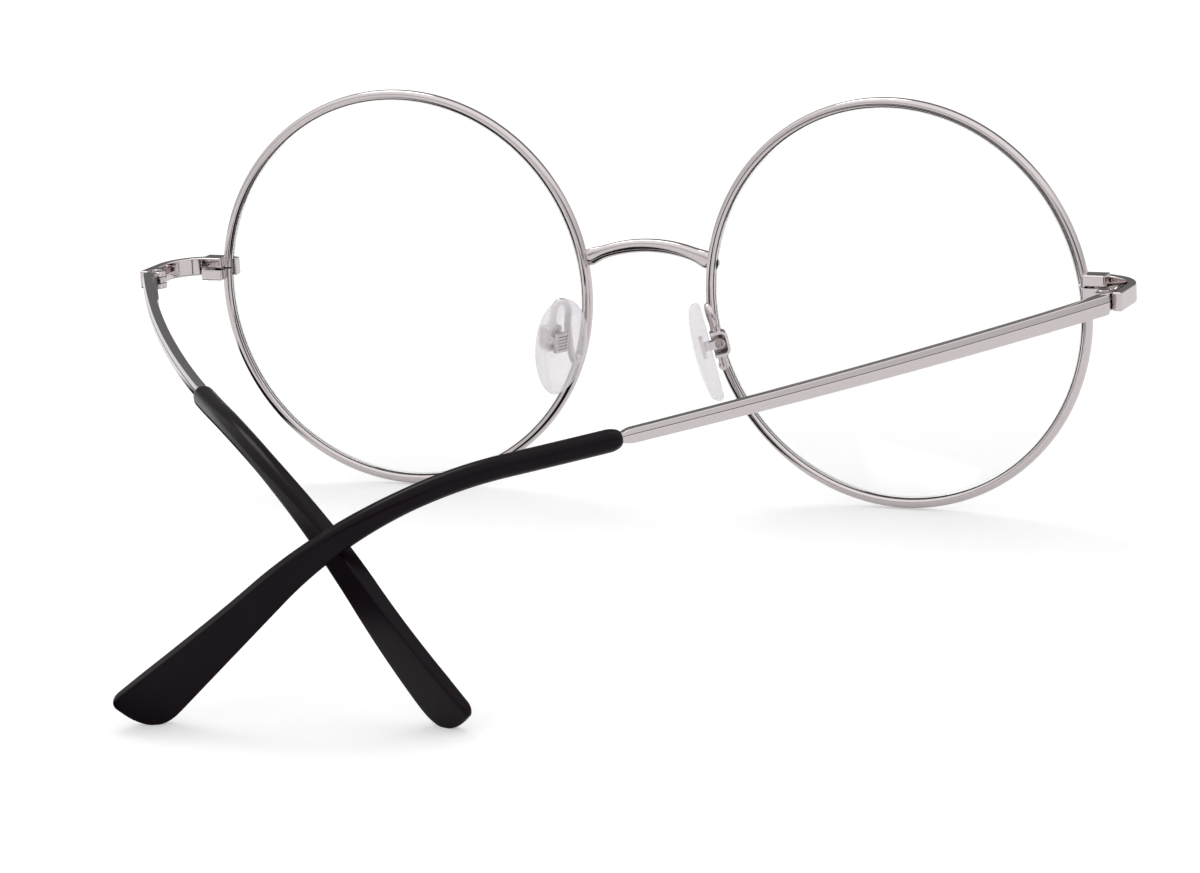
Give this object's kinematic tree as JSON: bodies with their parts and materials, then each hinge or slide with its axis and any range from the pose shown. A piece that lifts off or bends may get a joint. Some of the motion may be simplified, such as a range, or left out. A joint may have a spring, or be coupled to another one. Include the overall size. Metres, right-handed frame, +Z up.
{
  "type": "round eyeglasses",
  "caption": "Round wire-rim eyeglasses with clear lenses, arched bridge, adjustable nose pads and hinged temples with curved black tips, standing part folded.",
  "frame": {"origin": "midway between the two lens centres, where the nose passes under the bridge", "axes": "+X towards the wearer's left temple, -Y out of the front of the lenses, +Z up; the front stands upright on its rims to within half a degree"},
  "size_m": [0.1452, 0.123, 0.0564],
  "materials": {
    "polished_metal": "polished plating",
    "screw_steel": "turned",
    "clear_lens": "clear, polished",
    "clear_silicone": "clear satin silicone",
    "black_acetate": "polished black acetate"
  },
  "bodies": {
    "front": {"rim_left": "polished_metal", "rim_right": "polished_metal", "lens_left": "clear_lens", "lens_right": "clear_lens", "bridge": "polished_metal", "end_piece_left": "polished_metal", "end_piece_right": "polished_metal", "lock_upper_left": "polished_metal", "lock_upper_right": "polished_metal", "lock_lower_left": "polished_metal", "lock_lower_right": "polished_metal", "lock_screw_left": "screw_steel", "lock_screw_right": "screw_steel", "hinge_leaf_left": "polished_metal", "hinge_leaf_right": "polished_metal", "hinge_screw_left": "screw_steel", "hinge_screw_right": "screw_steel", "pad_arm_left": "polished_metal", "pad_arm_right": "polished_metal", "pad_box_left": "polished_metal", "pad_box_right": "polished_metal", "pad_pin_left": "screw_steel", "pad_pin_right": "screw_steel"},
    "temple_left": {"temple_leaf_left": "polished_metal", "temple_bar_left": "polished_metal", "temple_tip_left": "black_acetate"},
    "temple_right": {"temple_leaf_right": "polished_metal", "temple_bar_right": "polished_metal", "temple_tip_right": "black_acetate"},
    "pad_left": {"pad_core_left": "screw_steel", "nose_pad_left": "clear_silicone"},
    "pad_right": {"pad_core_right": "screw_steel", "nose_pad_right": "clear_silicone"}
  },
  "joints": [
    {"name": "temple_left_fold", "type": "hinge", "parent": "front", "child": "temple_left", "pos_m": [0.06996, 0.01119, 0.00255], "axis": [0, -0.003, 1], "range_deg": [-29.9, 0]},
    {"name": "temple_right_fold", "type": "hinge", "parent": "front", "child": "temple_right", "pos_m": [-0.06996, 0.01118, 0.00385], "axis": [0, -0.0511, -0.9987], "range_deg": [-29, 0]},
    {"name": "pad_left_rock", "type": "hinge", "parent": "front", "child": "pad_left", "pos_m": [0.01263, 0.00462, -0.00521], "axis": [0.4226, 0.9063, 0.0043], "range_deg": [-6, 3]},
    {"name": "pad_right_rock", "type": "hinge", "parent": "front", "child": "pad_right", "pos_m": [-0.01263, 0.00462, -0.00521], "axis": [0.4226, -0.9063, -0.0043], "range_deg": [-6, 3]}
  ],
  "couplings": [
    {"joint": "temple_right_fold", "follows": "temple_left_fold", "ratio": 0.97}
  ]
}
